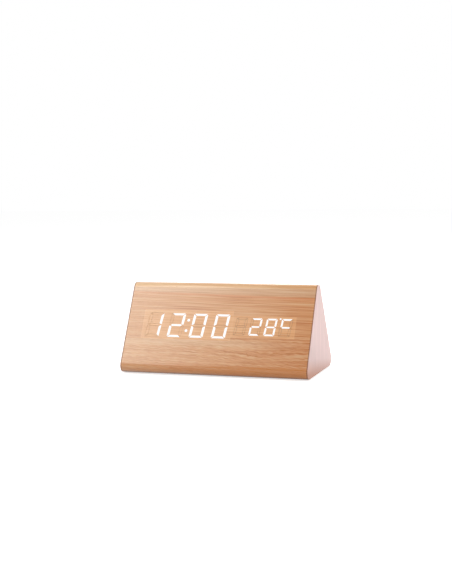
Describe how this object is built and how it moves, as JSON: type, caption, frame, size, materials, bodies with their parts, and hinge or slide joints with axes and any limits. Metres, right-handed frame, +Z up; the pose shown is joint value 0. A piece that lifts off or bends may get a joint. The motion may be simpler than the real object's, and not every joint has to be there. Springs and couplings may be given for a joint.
{
  "type": "digital led desk clock",
  "caption": "Triangular prism desk clock in wood-grain film; lit time and temperature digits shine through the sloping front, buttons and socket behind, battery box beneath.",
  "frame": {"origin": "on the resting plane, under the middle of the case", "axes": "+X along the case, to the right seen from the front; the lit front face looks to -Y and up; +Z up"},
  "size_m": [0.15, 0.072, 0.068],
  "materials": {
    "wood_film": "satin printed vinyl film with a wood grain",
    "end_film": "satin printed vinyl film, pale pink",
    "fibreboard": "bare fibreboard edges",
    "foot_foam": "soft matte pad",
    "module_plastic": "pale moulded plastic",
    "module_board": "laminate",
    "lit_resin": "clear resin, lit white",
    "dark_resin": "clear resin, unlit",
    "chip_phosphor": "phosphor dot",
    "tinned_metal": "tinned",
    "circuit_board": "green solder mask",
    "spacer_nylon": "natural nylon",
    "screw_steel": "zinc plated",
    "chip_black": "moulded epoxy",
    "crystal_can": "drawn can",
    "buzzer_plastic": "moulded",
    "cell_steel": "nickel plated",
    "header_white": "moulded nylon",
    "ribbon_vinyl": "grey vinyl",
    "red_vinyl": "red vinyl",
    "black_vinyl": "black vinyl",
    "black_abs": "moulded ABS, fine spark texture",
    "button_abs": "moulded ABS",
    "socket_plastic": "moulded",
    "socket_metal": "plated pin",
    "microphone_can": "crimped can",
    "sensor_resin": "dipped resin bead",
    "capacitor_can": "drawn can",
    "cell_jacket": "plain shrink sleeve",
    "contact_steel": "nickel plated spring steel"
  },
  "bodies": {
    "case": {"front_board": "fibreboard", "rear_board": "fibreboard", "base_board": "fibreboard", "left_end_board": "fibreboard", "right_end_board": "fibreboard", "wrap_film": "wood_film", "left_end_film": "end_film", "right_end_film": "end_film", "feet": "foot_foam", "time_module_housing": "module_plastic", "time_module_base": "module_board", "time_bars_lit": "lit_resin", "time_bars_dark": "dark_resin", "temp_module_housing": "module_plastic", "temp_module_base": "module_board", "temp_bars_lit": "lit_resin", "temp_bars_dark": "dark_resin", "bar_chips": "chip_phosphor", "module_pins": "tinned_metal", "display_board": "circuit_board", "display_board_spacers": "spacer_nylon", "display_board_screws": "screw_steel", "controller_chip": "chip_black", "controller_legs": "tinned_metal", "clock_crystal": "crystal_can", "alarm_buzzer": "buzzer_plastic", "coin_cell_holder": "black_abs", "coin_cell": "cell_steel", "small_parts": "chip_black", "display_header": "header_white", "ribbon_cable": "ribbon_vinyl", "control_header": "header_white", "control_board": "circuit_board", "control_board_spacers": "spacer_nylon", "control_board_screws": "screw_steel", "switch_housings": "chip_black", "power_socket": "socket_plastic", "power_socket_pin": "socket_metal", "microphone": "microphone_can", "temperature_sensor": "sensor_resin", "storage_capacitor": "capacitor_can", "lead_plug": "header_white", "battery_box": "black_abs", "battery_box_screws": "screw_steel", "battery_cells": "cell_jacket", "battery_contacts": "contact_steel", "battery_springs": "contact_steel", "battery_lead_red": "red_vinyl", "battery_lead_black": "black_vinyl"},
    "set_button": {"set_button": "button_abs", "set_plunger": "button_abs"},
    "up_button": {"up_button": "button_abs", "up_plunger": "button_abs"},
    "down_button": {"down_button": "button_abs", "down_plunger": "button_abs"},
    "battery_door": {"battery_door": "black_abs"}
  },
  "joints": [
    {"name": "set_button_press", "type": "slide", "parent": "case", "child": "set_button", "axis": [0, -0.8789, -0.477], "range_m": [0, 0.0005], "stiffness_N_per_m": 1200, "springref_m": -0.0004},
    {"name": "up_button_press", "type": "slide", "parent": "case", "child": "up_button", "axis": [0, -0.8789, -0.477], "range_m": [0, 0.0005], "stiffness_N_per_m": 1200, "springref_m": -0.0004},
    {"name": "down_button_press", "type": "slide", "parent": "case", "child": "down_button", "axis": [0, -0.8789, -0.477], "range_m": [0, 0.0005], "stiffness_N_per_m": 1200, "springref_m": -0.0004},
    {"name": "battery_door_swing", "type": "hinge", "parent": "case", "child": "battery_door", "pos_m": [-0.0261, 0, 0.0008], "axis": [0, 1, 0], "range_deg": [0, 60]}
  ]
}
